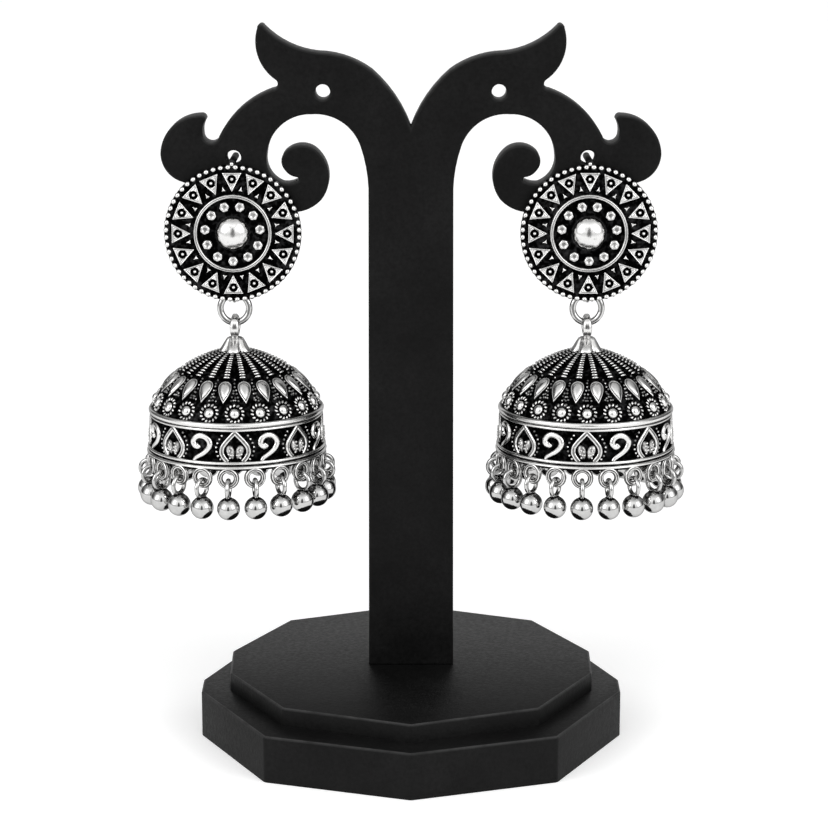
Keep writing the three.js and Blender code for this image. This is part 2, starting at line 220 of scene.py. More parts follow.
# Share of the scroll's path, radius of its wire there
SCROLL_WIRE = ((0, 0.53), (0.35, 0.55), (0.6, 0.55), (1, 0.36))
DOT_COLUMN = (
    (-2.3, 4.75), (-2.75, 4.1), (-3.1, 3.4), (-3.35, 2.65), (-3.3, 1.85), (-3.05, 1.1), (-2.6, 0.5),
)
DOT = {"radius": 0.22, "lift": 0.06, "polish_and_shade": (0.5, 0.95)}
PATH_STEPS = 6
# A wire's flattening, the height under which it is dark, how dark a groove is, and its ends' polish
WIRE = {"sides": 12, "flat": 0.85, "dark_below": -0.3, "groove_dark": 1.6, "end_polish": 0.8}
# How deep a pad's foot is sunk, and the polish of its lowest rows
PAD_SINK = 0.4
PAD_FOOT_POLISH = (0.0, 0.2, 0.7)

# The cap and its eye
CAP = {
    "lobes": 5, "slit": 0.5, "slit_power": 0.3, "open_over": 2.0, "dark_below": 0.5, "end_polish": (0.0, 0.5),
    "sides": 120, "turn": math.radians(-8.4), "thin": 0.55, "thin_from": 72.2,
}
CAP_ROWS = (
    (2.5, 71.0, 0.0), (3.0, 71.3, 0.9), (2.95, 71.6, 1.0), (2.7, 72.0, 1.0), (2.42, 72.4, 1.0),
    (2.08, 72.95, 1.0), (1.74, 73.45, 1.0), (1.5, 73.8, 0.9), (1.1, 74.0, 0.4), (0.7, 74.05, 0.1),
)
# The eye's edge values darken its left and right sides: painted shade along its edges.
EYE = {
    "radius": 2.0, "wire": 0.42, "half_width": 0.84, "end_width": 0.5, "z": 75.85, "steps": 56, "sides": 20,
    "groove": 0.2, "groove_width": 0.12, "edge_shade": 0.5, "edge_shade_power": 6,
}

# The bead drops
DROPS = 21
DROP_CIRCLE = 16.2
FIXED_RING = {
    "radius": 1.48, "wire": 0.5, "z": 51.5, "circle": 15.85, "steps": 32, "sides": 24, "ridges": 3,
    "ridge": 0.1, "polish_and_shade": (0.75, 0.7),
}
# A drop loop is darker on its left and right sides than on its inner and outer faces: painted shade along its
# sides.
DROP_LOOP = {"radius": 1.55, "wire": 0.4, "z": 49.6, "steps": 32, "sides": 10, "polish_and_shade": (0.55, 0.45)}
# The dark slot on top of a ball; its rows are the share of its outline and the height over the ball
SLOT = {"across": 0.62, "along": 1.32, "sides": 20, "polish_and_shade": 0.0}
SLOT_ROWS = ((1.0, -0.12), (1.0, 0.03), (0.85, 0.07), (0.5, 0.08))
BALL = {"radius": 2.06, "z": 46.0, "rows": 17, "sides": 32, "polish_and_shade": 0.9}
LOOP_TURN_SPREAD = math.radians(9)

# The photograph's view
IMAGE_SIDE = 828
FOCAL_PIXELS = 2500
SENSOR = 36.0
CAMERA_PITCH = math.radians(12.8)
CAMERA_DISTANCE = 456.5
CAMERA_AIM = (0.55, -1.6, 59.58)
CAMERA_NEAR = 0.01

# Floor and light, in metres. The floor ends in front of the stand.
FLOOR_HALF = 6.0
FLOOR_FRONT = 0.3
FLOOR_DROP = 0.00005
SOFTBOX = {"place": (0.75, -0.6, 0.5), "aim": (0, 0, 0.06), "width": 0.5, "height": 0.7, "power": 2.5}
# Sky levels by the sine of the height
FRONT_SKY = (
    (-0.3, 0.75), (-0.1, 0.6), (0.0, 0.55), (0.12, 0.8), (0.3, 1.0), (0.7, 1.0), (0.9, 0.65), (1.0, 0.4),
)
BACK_SKY = ((0.0, 0.08), (0.35, 0.1), (0.7, 0.28), (1.0, 0.45))
# Where the front sky gives way to the back one, from front (0) to back (1)
SKY_CHANGE = ((0.36, 1.0), (0.56, 0.0))
SKY_STRENGTH = 1.45
# Ovals in the sky that the silver and the paint mirror: a dark figure behind the camera, and a white card
# behind the stand
FIGURE = {"centre": (0.0, -0.95, 0.1), "half": (0.22, 1.25, 0.55), "levels": ((0.0, 1.0), (0.35, 0.1))}
CARD = {"centre": (0.0, 0.97, 0.1), "half": (0.6, 1.25, 0.5), "levels": ((0.0, 0.0), (0.2, 0.7))}

# Materials. Noise is waves a metre, detail and roughness; a ramp is places with levels or colours.
WHITE = (1, 1, 1, 1)
# How bright silver stays where it turns away from sight: painted shade that darkens its edges
EDGE_TINT = (0.4, 0.4, 0.4, 1)
OXIDE_SPECKS = {"noise": (1400, 4), "share": 0.8, "shift": -0.42}
OXIDE_PATCHES = {"noise": (420, 3), "share": 0.3, "shift": 0.12}
OXIDE_COLOUR = (
    (0.0, (0.001, 0.001, 0.001, 1)), (0.26, (0.035, 0.035, 0.036, 1)), (0.62, (0.29, 0.288, 0.284, 1)),
    (0.86, (0.76, 0.756, 0.748, 1)),
)
OXIDE_ROUGHNESS = ((0.2, 0.5), (0.7, 0.28), (1.0, 0.17))
OXIDE_BUMP = {"noise": (2200, 3), "strength": 0.25, "depth": 0.00004}
HAZE_NOISE = (900, 4)
HAZE_COLOUR = ((0.3, (0.54, 0.54, 0.536, 1)), (0.7, (0.65, 0.648, 0.642, 1)))
HAZE_ROUGHNESS = ((0.35, 0.05), (0.75, 0.12))
# Polished silver's darkening as its stored value falls; where that value is low on the ring's rims and groove
# and the loops' sides, it is painted shade.
RECESS_SHADE = ((0.0, 0.02), (1.0, 1.0))
HAZE_BUMP = {"noise": (420, 2), "strength": 0.12, "depth": 0.00006}
PAINT_TOOTH = (1500, 5, 0.6)
PAINT_CLOUD = (90, 3)
PAINT_LEVELS = ((0.12, 0.0028), (0.42, 0.0075))
PAINT_ROUGHNESS = ((0.3, 0.42), (0.7, 0.56))
PAINT_SPECULAR = 0.092
PAINT_BUMP = {"strength": 0.35, "depth": 0.00012}
# Paler paint on the softened edges that look up: edge wear with a painted highlight.
WEAR_HIGHLIGHT_NOISE = (260, 4)
WEAR_HIGHLIGHT_LEVEL = 0.07
FLOOR_NOISE = (3.0,)
FLOOR_LEVELS = ((0.3, 0.9), (0.7, 0.92))
FLOOR_ROUGHNESS = 0.9
FLOOR_SPECULAR = 0.1
FLOOR_GLOW = 0.3

rng = np.random.default_rng(RANDOM_SEED)


def node(tree, kind, **inputs):
    """A shader node with its sockets set to values or joined to other sockets."""
    made = tree.nodes.new(kind)
    for name, value in inputs.items():
        socket = made.inputs[name.replace("_", " ")]
        if isinstance(value, bpy.types.NodeSocket):
            tree.links.new(value, socket)
        else:
            socket.default_value = value
    return made


def material(name):
    """A new material, its node tree and its principled shader."""
    made = bpy.data.materials.new(name)
    made.use_nodes = True
    return made, made.node_tree, made.node_tree.nodes["Principled BSDF"]


def maths(tree, operation, *values):
    """A sum of values or sockets."""
    made = tree.nodes.new("ShaderNodeMath")
    made.operation = operation
    for socket, value in zip(made.inputs, values):
        if isinstance(value, bpy.types.NodeSocket):
            tree.links.new(value, socket)
        else:
            socket.default_value = value
    return made.outputs[0]


def ramp(tree, factor, stops):
    """Levels or colours spread between the given places of a factor."""
    made = tree.nodes.new("ShaderNodeValToRGB")
    tree.links.new(factor, made.inputs["Fac"])
    elements = made.color_ramp.elements
    while len(elements) < len(stops):
        elements.new(0.5)
    for element, (place, level) in zip(elements, stops):
        element.position = place
        element.color = level if hasattr(level, "__len__") else (level, level, level, 1)
    return made.outputs["Color"]


def noise(tree, scale, detail=3.0, roughness=0.55):
    """Cloudy variation that stays with the piece."""
    place = tree.nodes.new("ShaderNodeTexCoord").outputs["Object"]
    made = node(tree, "ShaderNodeTexNoise", Vector=place, Scale=scale, Detail=detail, Roughness=roughness)
    return made.outputs["Fac"]


def painted(tree, name):
    """A value that the mesh keeps under a name."""
    made = tree.nodes.new("ShaderNodeAttribute")
    made.attribute_name = name
    return made.outputs["Fac"]


def add_bump(tree, shader, height, form):
    """Fine relief from a height."""
    bump = node(tree, "ShaderNodeBump", Height=height, Strength=form["strength"], Distance=form["depth"])
    tree.links.new(bump.outputs["Normal"], shader.inputs["Normal"])


def as_silver(shader):
    """What both silvers share."""
    shader.inputs["Metallic"].default_value = 1.0
    shader.inputs["Specular Tint"].default_value = EDGE_TINT


def oxidised_silver():
    """Cast silver: bright where it stands proud, black where the oxide stays in the recesses; the same stored
    value also paints shade along the sides of the cap's eye and on the black foot under the bell's lower rim.
    """
    made, tree, shader = material("oxidised_silver")
    specks, patches = OXIDE_SPECKS, OXIDE_PATCHES
    worn = maths(tree, "MULTIPLY_ADD", noise(tree, *specks["noise"]), specks["share"], specks["shift"])
    patchy = maths(tree, "MULTIPLY_ADD", noise(tree, *patches["noise"]), patches["share"], worn)
    level = maths(tree, "ADD", painted(tree, "polish_and_shade"), maths(tree, "SUBTRACT", patchy, patches["shift"]))
    tree.links.new(ramp(tree, level, OXIDE_COLOUR), shader.inputs["Base Color"])
    tree.links.new(ramp(tree, level, OXIDE_ROUGHNESS), shader.inputs["Roughness"])
    as_silver(shader)
    add_bump(tree, shader, noise(tree, *OXIDE_BUMP["noise"]), OXIDE_BUMP)
    return made


def polished_silver():
    """Smooth bright silver with a faint handling haze, darkened where its stored value is low, as in the
    balls' dark slots; on the jump ring's rims and groove and the loops' sides this is painted shade.
    """
    made, tree, shader = material("polished_silver")
    haze = noise(tree, *HAZE_NOISE)
    tint = node(tree, "ShaderNodeVectorMath")
    tint.operation = "MULTIPLY"
    clean = ramp(tree, haze, HAZE_COLOUR)
    dark = ramp(tree, painted(tree, "polish_and_shade"), RECESS_SHADE)
    for source, socket in zip((clean, dark), tint.inputs):
        tree.links.new(source, socket)
    tree.links.new(tint.outputs["Vector"], shader.inputs["Base Color"])
    tree.links.new(ramp(tree, haze, HAZE_ROUGHNESS), shader.inputs["Roughness"])
    as_silver(shader)
    add_bump(tree, shader, noise(tree, *HAZE_BUMP["noise"]), HAZE_BUMP)
    return made


def black_board():
    """Matt black paint with the fine tooth of a sprayed and rubbed coat, paler on its softened edges where
    they look up: edge wear with a painted highlight.
    """
    made, tree, shader = material("black_board")
    tooth = noise(tree, *PAINT_TOOTH)
    cloud = noise(tree, *PAINT_CLOUD)
    paint = ramp(tree, maths(tree, "MULTIPLY", tooth, cloud), PAINT_LEVELS)
    # Paler on the softened edges that look up: edge wear with a painted highlight.
    rubbed_and_lit = maths(tree, "MULTIPLY", painted(tree, "wear_and_highlight"), noise(tree, *WEAR_HIGHLIGHT_NOISE))
    level = maths(tree, "MULTIPLY_ADD", rubbed_and_lit, WEAR_HIGHLIGHT_LEVEL, paint)
    tree.links.new(level, shader.inputs["Base Color"])
    tree.links.new(ramp(tree, tooth, PAINT_ROUGHNESS), shader.inputs["Roughness"])
    shader.inputs["Specular IOR Level"].default_value = PAINT_SPECULAR
    add_bump(tree, shader, tooth, PAINT_BUMP)
    return made


def pale_floor():
    """A studio floor that glows a little, so that it stays pale round the stand."""
    made, tree, shader = material("pale_floor")
    tree.links.new(ramp(tree, noise(tree, *FLOOR_NOISE), FLOOR_LEVELS), shader.inputs["Base Color"])
    shader.inputs["Roughness"].default_value = FLOOR_ROUGHNESS
    shader.inputs["Specular IOR Level"].default_value = FLOOR_SPECULAR
    shader.inputs["Emission Color"].default_value = WHITE
    shader.inputs["Emission Strength"].default_value = FLOOR_GLOW
    return made


def circle(count, start=0.0):
    """Equal angles round a turn."""
    return start + np.arange(count) * TURN / count


def loft(rows, loop=False, tips=(None, None)):
    """A skin over rows of equal numbers of points: a closed loop of rows, or ends closed to a tip."""
    rows = np.asarray(rows, float)
    count, across = rows.shape[:2]
    index = np.arange(count * across).reshape(count, across)
    upper = index if loop else index[:-1]
    lower = np.roll(index, -1, 0) if loop else index[1:]
    quads = np.stack([upper, np.roll(upper, -1, 1), np.roll(lower, -1, 1), lower], -1).reshape(-1, 4)
    points = rows.reshape(-1, 3)
    if loop:
        return points, quads, np.zeros((0, 3), int)
    ends = [rows[k].mean(0) if tip is None else np.asarray(tip, float) for k, tip in zip((0, -1), tips)]
    first, last = len(points), len(points) + 1
    fans = [
        np.stack([np.full(across, first), np.roll(index[0], -1), index[0]], -1),
        np.stack([np.full(across, last), index[-1], np.roll(index[-1], -1)], -1),
    ]
    return np.vstack([points, ends]), quads, np.vstack(fans)


def row_values(values, across, loop=False):
    """One value a row, spread over the row's points and on to the two tips."""
    values = np.asarray(values, float)
    spread = np.repeat(values, across)
    return spread if loop else np.concatenate([spread, values[[0, -1]]])


class Heap:
    """Shapes gathered into one mesh, with a value at each point for its polish and oxide, or for painted
    shade on some edges and under the bell's rim.
    """

    def __init__(self):
        self.points, self.quads, self.tris, self.polish_and_shade = [], [], [], []
        self.count = 0

    def add(self, shape, polish_and_shade, place=None):
        """Takes in a shape, put where it goes if a placing is given."""
        points, quads, tris = shape
        if place is not None:
            points = place(points)
        self.points.append(points)
        self.quads.append(quads + self.count)
        self.tris.append(tris + self.count)
        self.polish_and_shade.append(np.broadcast_to(np.asarray(polish_and_shade, float), (len(points),)))
        self.count += len(points)

    def mesh(self, name, shift):
        """All the shapes as one mesh, moved and turned into metres."""
        points = (np.vstack(self.points) + np.asarray(shift)) * MM
        faces = np.vstack(self.quads).tolist() + np.vstack(self.tris).tolist()
        made = bpy.data.meshes.new(name)
        made.from_pydata(points, [], faces)
        values = made.attributes.new("polish_and_shade", "FLOAT", "POINT")
        values.data.foreach_set("value", np.concatenate(self.polish_and_shade).astype(np.float32))
        work = bmesh.new()
        work.from_mesh(made)
        bmesh.ops.recalc_face_normals(work, faces=work.faces)
        work.to_mesh(made)
        work.free()
        made.shade_smooth()
        return made


def show(name, mesh, look, body, slot, *nodes):
    """A piece of the object: its mesh, its material, the body it rides on and the nodes it stands for."""
    piece = bpy.data.objects.new(name, mesh)
    bpy.context.scene.collection.objects.link(piece)
    mesh.materials.append(look)
    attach(piece, body)
    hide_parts(*nodes)


def turned(profile, sides, axis="z"):
    """Rows of points about an upright axis, or about the axis out of the disc's face."""
    turn = circle(sides)
    rows = []
    for radius, along in profile:
        x, y = radius * np.sin(turn), radius * np.cos(turn)
        level = np.full(sides, along)
        rows.append(np.stack([x, -y, level] if axis == "z" else [x, -level, y], -1))
    return rows


def ball(sides, rows):
    """A ball of radius 1 about z."""
    lift = np.linspace(0, math.pi, rows + 2)[1:-1]
    profile = [(math.sin(a), math.cos(a)) for a in lift]
    return loft(turned(profile, sides), tips=((0, 0, 1), (0, 0, -1)))


GRAIN = ball(sides=8, rows=4)
BEAD = ball(sides=12, rows=6)


def stretched(shape, size, at=(0, 0, 0)):
    """A shape scaled along its axes, then moved."""
    points, quads, tris = shape
    return points * np.asarray(size) + np.asarray(at), quads, tris


def rolled(shape, angle):
    """A shape turned about its own upright axis."""
    points, quads, tris = shape
    return shifted(0, 0, 0, angle)(points), quads, tris


def smooth_path(points, steps):
    """A smooth curve through the points, in the given steps between each two."""
    p = np.asarray(points, float)
    p = np.vstack([2 * p[0] - p[1], p, 2 * p[-1] - p[-2]])
    t = np.arange(steps)[:, None] / steps
    runs = []
    for a, b, c, d in zip(p, p[1:], p[2:], p[3:]):
        bend, swing = 2 * a - 5 * b + 4 * c - d, 3 * b - a - 3 * c + d
        runs.append(0.5 * (2 * b + (c - a) * t + bend * t**2 + swing * t**3))
    return np.vstack(runs + [p[-2:-1]])


def wire(path, radii, groove=0.0):
    """A half-sunk wire along a path, with a groove down its top, and the polish of its points."""
    path = np.asarray(path, float)
    along = np.gradient(path, axis=0)
    along /= np.linalg.norm(along, axis=1)[:, None]
    side = np.stack([along[:, 1], -along[:, 0]], -1)
    turn = circle(WIRE["sides"], TURN / 4)
    size = np.ones(WIRE["sides"])
    size[0] -= groove
    polish_and_shade = np.where(np.sin(turn) > WIRE["dark_below"], 1.0, 0.0)
    polish_and_shade[0] -= groove * WIRE["groove_dark"]
    radii = np.broadcast_to(radii, len(path))
    rows = []
    for at, across, radius in zip(path, side, radii):
        out = radius * size * np.cos(turn)
        lift = radius * size * np.sin(turn) * WIRE["flat"]
        rows.append(np.column_stack([at + out[:, None] * across, lift]))
    return loft(rows), np.concatenate([np.tile(polish_and_shade, len(path)), [WIRE["end_polish"]] * 2])


def layered(outline, rows, centre=(0, 0), crown=None):
    """An outline in rows of (share, height, polish), drawn in about a centre, and the polish of its points.

    The last row is closed flat, or by a tip at the height of the crown.
    """
    outline, centre = np.asarray(outline, float), np.asarray(centre, float)
    layers = [
        np.column_stack([centre + (outline - centre) * share, np.full(len(outline), lift)])
        for share, lift, _ in rows
    ]
    tip = None if crown is None else (*centre, crown)
    return loft(layers, tips=(None, tip)), row_values([polish_and_shade for _, _, polish_and_shade in rows], len(outline))


def pad(outline, height, centre, rings):
    """A rounded raised pad over a closed outline, and the polish of its points."""
    rows = [(1.0, -PAD_SINK)]
    for a in np.linspace(0, math.pi / 2, rings + 1)[:-1]:
        rows.append((math.cos(a), height * math.sin(a)))
    polish_and_shade = [*PAD_FOOT_POLISH, *[1.0] * (len(rows) - len(PAD_FOOT_POLISH))]
    return layered(outline, [(*row, value) for row, value in zip(rows, polish_and_shade)], centre, height)


def stepped(corners, steps):
    """Points along the straight sides of a closed outline."""
    corners = np.asarray(corners, float)
    share = np.arange(steps)[:, None] / steps
    return np.vstack([a + (b - a) * share for a, b in zip(corners, np.roll(corners, -1, 0))])


def drop_outline(form):
    """A teardrop with its round end up and its point down."""
    a = circle(form["points"])
    x = np.sin(a) * np.sin(a / 2) ** form["taper"]
    return np.column_stack([x / np.abs(x).max() * form["width"] / 2, -np.cos(a) * form["length"] / 2])


def hoop(radius, section, steps, plane):
    """A closed ring of a given section (outward, across) in the named plane, about the origin."""
    rows = []
    section = np.asarray(section, float)
    for a in circle(steps):
        out = radius + section[:, 0]
        u, v, w = out * math.sin(a), out * math.cos(a), section[:, 1]
        rows.append(np.stack({"xz": [u, w, v], "yz": [w, u, v]}[plane], -1))
    return loft(rows, loop=True)


def round_section(radius, sides):
    """Points round a circle."""
    a = circle(sides)
    return np.column_stack([radius * np.cos(a), radius * np.sin(a)])


def wire_hoop(form, plane):
    """A closed ring of round wire."""
    return hoop(form["radius"], round_section(form["wire"], form["sides"]), form["steps"], plane)


class Skin:
    """A turned surface, walked by angle from the front and by length down its profile."""

    def __init__(self, radii, heights):
        self.r, self.z = np.asarray(radii, float), np.asarray(heights, float)
        dr, dz = np.gradient(self.r), np.gradient(self.z)
        size = np.hypot(dr, dz)
        self.out, self.up = -dz / size, dr / size
        self.s = np.concatenate([[0], np.cumsum(np.hypot(np.diff(self.r), np.diff(self.z)))])

    def length_at(self, radius):
        """How far down the profile it reaches a radius."""
        return float(np.interp(radius, self.r, self.s))

    def patch(self, angle, length):
        """Places points given as (across, up the slope, proud) about a spot on the surface."""

        def place(points):
            s = length - points[:, 1]
            r = np.interp(s, self.s, self.r)
            turn = angle + points[:, 0] / np.maximum(r, LEAST_RADIUS)
            out = r + points[:, 2] * np.interp(s, self.s, self.out)
            z = np.interp(s, self.s, self.z) + points[:, 2] * np.interp(s, self.s, self.up)
            return np.stack([out * np.sin(turn), -out * np.cos(turn), z], -1)

        return place


def disc_patch(angle, radius, lift):
    """Places points given as (clockwise, outward, proud) about a spot on the disc's face."""
    c, s = math.cos(angle), math.sin(angle)

    def place(points):
        across, out, proud = points[:, 0], points[:, 1] + radius, points[:, 2] + lift
        return np.stack([across * c + out * s, -proud, out * c - across * s], -1)

    return place


def shifted(dx, dy, dz, turn=0.0):
    """Turns points about the upright axis, then moves them."""
    c, s = math.cos(turn), math.sin(turn)

    def place(points):
        x, y, z = points.T
        return np.stack([x * c - y * s + dx, x * s + y * c + dy, z + dz], -1)

    return place


def about_axis(angle, radius, z, turn=0.0):
    """Stands a shape made about the origin, facing the viewer, at an angle round the bell."""
    return shifted(radius * math.sin(angle), -radius * math.cos(angle), z, angle + turn)


def triangle():
    """One raised triangle of the disc with the round pit in it, about the pit's centre, and its polish."""
    t = TRIANGLES
    top, tip, half = t["base"] - t["pit_at"], t["apex"] - t["pit_at"], t["width"] / 2
    corners = ((-half, top), (half, top), (0, tip))
    outline, middle = stepped(corners, t["edge_steps"]), np.mean(corners, 0)
    pit = outline / np.linalg.norm(outline, axis=1)[:, None]
    rows = [(middle + (outline - middle) * share, lift) for share, lift, _ in TRIANGLE_ROWS]
    rows += [(pit * radius, lift) for radius, lift, _ in PIT_ROWS]
    shape = loft([np.column_stack([flat, np.full(len(flat), lift)]) for flat, lift in rows])
    return shape, row_values([polish_and_shade for _, _, polish_and_shade in TRIANGLE_ROWS + PIT_ROWS], len(outline))


def stud():
    """One petalled stud of the disc with its dimple, and its polish."""
    a = circle(STUDS["points"])
    edge = STUDS["radius"] * (1 + STUDS["wave"] * np.cos(STUDS["petals"] * a))
    return layered(np.column_stack([edge * np.cos(a), edge * np.sin(a)]), STUD_ROWS)


def disc_plate(heap):
    """The disc's plate with its turned ring, and the half-ball in its middle."""
    face = [(radius, height) for radius, height, _ in DISC_PROFILE]
    polish_and_shade = row_values([value for _, _, value in DISC_PROFILE], DISC_SIDES)
    heap.add(loft(turned(face, DISC_SIDES, "y")), polish_and_shade)
    b = DISC_BALL
    dome = [(b["radius"], b["base"] - b["sunk"])]
    for a in np.linspace(0, math.pi / 2, b["rows"] + 1)[:-1]:
        dome.append((b["radius"] * math.cos(a), b["base"] + b["height"] * math.sin(a)))
    values = [*DISC_BALL_POLISH, *DISC_BALL_POLISH[-1:] * (len(dome) - len(DISC_BALL_POLISH))]
    heap.add(loft(turned(dome, b["sides"], "y")), row_values(values, b["sides"]))


def disc_ornament(heap):
    """The beads, triangles, wedges and studs on the disc's face."""
    m = RIM_BEADS
    bead = stretched(BEAD, (m["across"], m["along"], m["out"]))
    for angle in circle(m["count"], TURN / m["count"] / 2):
        heap.add(bead, 1.0, disc_patch(angle, m["circle"], m["lift"]))
    shape, polish_and_shade = triangle()
    d = TRIANGLE_DOT
    dot = stretched(BEAD, (d["radius"], d["radius"], d["top"] - d["base"]), (0, 0, d["base"]))
    for angle in circle(TRIANGLES["count"]):
        spot = disc_patch(angle, TRIANGLES["pit_at"], 0)
        heap.add(shape, polish_and_shade, spot)
        heap.add(dot, 1.0, spot)
    w = WEDGES
    half, reach = w["width"] / 2, w["length"] / 2
    corners = ((-half, -reach), (half, -reach), (0, reach))
    outline = stepped(corners, w["edge_steps"])
    shape, polish_and_shade = pad(outline, w["top"] - DISC_GROUND, np.mean(corners, 0), w["rings"])
    for angle in circle(w["count"], TURN / w["count"] / 2):
        heap.add(shape, polish_and_shade, disc_patch(angle, w["circle"], DISC_GROUND))
    shape, polish_and_shade = stud()
    for angle in circle(STUDS["count"], math.pi):
        heap.add(shape, polish_and_shade, disc_patch(angle + rng.normal(0, STUDS["stray"]), STUDS["circle"], 0))


def disc_fittings(heap):
    """The ear post, the lug that joins it to the rim, and the loop behind the disc's lower edge."""
    p = POST
    thin = p["radius"] - p["round"]
    post = [
        (thin, p["front"]), (p["radius"], p["front"] - p["round"]),
        (p["radius"], p["round"] - p["back"]), (thin, -p["back"]),
    ]
    heap.add(loft(turned(post, p["sides"], "y")), p["polish_and_shade"], shifted(0, 0, p["z"] - DISC_Z))
    lug = stretched(BEAD, (LUG["radius"],) * 3, (0, -LUG["lift"], LUG["z"] - DISC_Z))
    heap.add(lug, LUG["polish_and_shade"])
    level = RING_Z + JUMP_RING["radius"] + BACK_LOOP["lift"] - DISC_Z
    heap.add(wire_hoop(BACK_LOOP, "yz"), BACK_LOOP["polish_and_shade"], shifted(0, RING_Y - DISC_BACK_Y, level))


def disc(side, out):
    """The stud plate of one earring."""
    heap = Heap()
    disc_plate(heap)
    disc_ornament(heap)
    disc_fittings(heap)
    mesh = heap.mesh(side + "_disc_face", (out * EARRING_OUT, DISC_BACK_Y, DISC_Z))
    show(side + "_disc_face", mesh, SILVER, "stand", "oxidised_silver", side + "_disc")


def dome_skin():
    """The bell's dome, as a surface to set ornament on."""
    a = np.linspace(DOME["start"], math.pi / 2, DOME_POINTS)
    power = 2 / DOME["power"]
    return Skin(DOME["radius"] * np.sin(a) ** power, DOME["base"] + DOME["height"] * np.cos(a) ** power)


def petal():
    """One rimmed petal of the dome, about its middle, and the polish of its points."""
    crown = (0, (PETALS["crown_at"] - 0.5) * PETALS["length"])
    return layered(drop_outline(PETALS), PETAL_ROWS, crown, PETALS["crown"])


def bell_shell(heap, dome):
    """The bell's wall: dome, rims and band outside, and its smooth inside."""
    rows = [(r, z, 0.0) for r, z in zip(dome.r[::DOME_STRIDE], dome.z[::DOME_STRIDE])]
    rows += [*UPPER_RIM, (*BAND_FOOT, 0.0), *LOWER_RIM]
    rows += [(r, z, INSIDE_POLISH) for r, z in smooth_path(BELL_INSIDE, INSIDE_STEPS)]
    wall = loft(turned([(r, z) for r, z, _ in rows], BELL_SIDES))
    heap.add(wall, row_values([polish_and_shade for _, _, polish_and_shade in rows], BELL_SIDES))


def ribs_and_petals(heap, dome, turn):
    """The dome's beaded ribs, the petal under each, and the grains between the petals."""
    first, last = dome.length_at(RIBS["inner"]), dome.length_at(RIBS["outer"])
    petal_shape, petal_polish = petal()
    half_step = TURN / RIBS["count"] / 2
    for angle in circle(RIBS["count"], turn + half_step):
        for share in np.linspace(0, 1, RIBS["beads"]):
            wide = np.interp(share, (0, 1), (RIB_BEAD["narrow"], RIB_BEAD["wide"]))
            high = np.interp(share, (0, 1), (RIB_BEAD["low"], RIB_BEAD["high"]))
            spot = dome.patch(angle, first + (last - first) * share)
            shine_and_shade = np.interp(share, (0, 1), RIBS["polish_and_shade"])
            heap.add(stretched(GRAIN, (wide, RIB_BEAD["long"], high)), shine_and_shade, spot)
        heap.add(petal_shape, petal_polish, dome.patch(angle, dome.length_at(PETALS["middle"])))
        between = angle + half_step
        for radius, count in SEED_ROWS:
            spot = dome.patch(between, dome.length_at(radius))
            for place in np.arange(count) - (count - 1) / 2:
                stray, slip = rng.normal(0, SEED["stray"], 2)
                at = (place * SEED["apart"] + stray, slip, SEED["lift"])
                seed = stretched(GRAIN, (SEED["radius"],) * 3, at)
                heap.add(seed, rng.uniform(*SEED["polish_and_shade"]), spot)


def rosettes(heap, dome, turn):
    """The row of balls at the dome's foot, each in a twisted ring of grains."""
    r = ROSETTES
    centre = stretched(BEAD, (r["ball"], r["ball"], r["ball_height"]))
    grain = rolled(stretched(GRAIN, (r["wide"], r["long"], r["wide"])), r["twist"])
    grain = stretched(grain, (1, 1, 1), (0, r["ring"], r["lift"]))
    for angle in circle(r["count"], turn):
        spot = dome.patch(angle, dome.length_at(r["circle"]))
        heap.add(centre, 1.0, spot)
        for a in circle(r["grains"], angle):
            heap.add(rolled(grain, a), rng.uniform(*r["polish_and_shade"]), spot)


def leaf(heap, spot):
    """A leaf of the band: a grooved wire round two granulated lobes."""
    half = smooth_path(LEAF_PATH, PATH_STEPS)
    path = np.vstack([half, (half[:-1] * (-1, 1))[::-1]])
    shape, polish_and_shade = wire(path, LEAF_WIRE, LEAF_GROOVE)
    heap.add(shape, polish_and_shade, spot)
    lobe = LEAF_LOBE
    outline = drop_outline(lobe)
    for hand in (-1, 1):
        c, s = math.cos(lobe["lean"] * hand), math.sin(lobe["lean"] * hand)
        centre = (hand * lobe["x"], lobe["y"])
        leaned = outline @ np.array([(c, -s), (s, c)]) + centre
        shape, polish_and_shade = pad(leaned, lobe["height"], centre, lobe["rings"])
        heap.add(shape, polish_and_shade * lobe["polish_and_shade"], spot)
        for x, y in LEAF_GRAINS:
            grain = stretched(GRAIN, (LEAF_GRAIN["radius"],) * 3, (hand * x, y, LEAF_GRAIN["lift"]))
            heap.add(grain, 1.0, spot)


def scroll(heap, spot):
    """A scroll of the band, in a wire that thins to its tail."""
    path = smooth_path(SCROLL_PATH, PATH_STEPS)
    shape, polish_and_shade = wire(path, np.interp(np.linspace(0, 1, len(path)), *zip(*SCROLL_WIRE)))
    heap.add(shape, polish_and_shade, spot)


def band(heap, turn):
    """The leaves and scrolls round the band, with a column of dots on each side of a leaf."""
    surface = Skin(*zip(BAND_TOP, BAND_FOOT))
    foot = surface.s[-1]
    for number in range(MOTIFS):
        spot = surface.patch(turn + number * MOTIF_STEP, foot)
        if number % 2:
            scroll(heap, spot)
            continue
        leaf(heap, spot)
        for hand in (-1, 1):
            for x, y in DOT_COLUMN:
                dot = stretched(GRAIN, (DOT["radius"],) * 3, (hand * x, y, DOT["lift"]))
                heap.add(dot, rng.uniform(*DOT["polish_and_shade"]), spot)


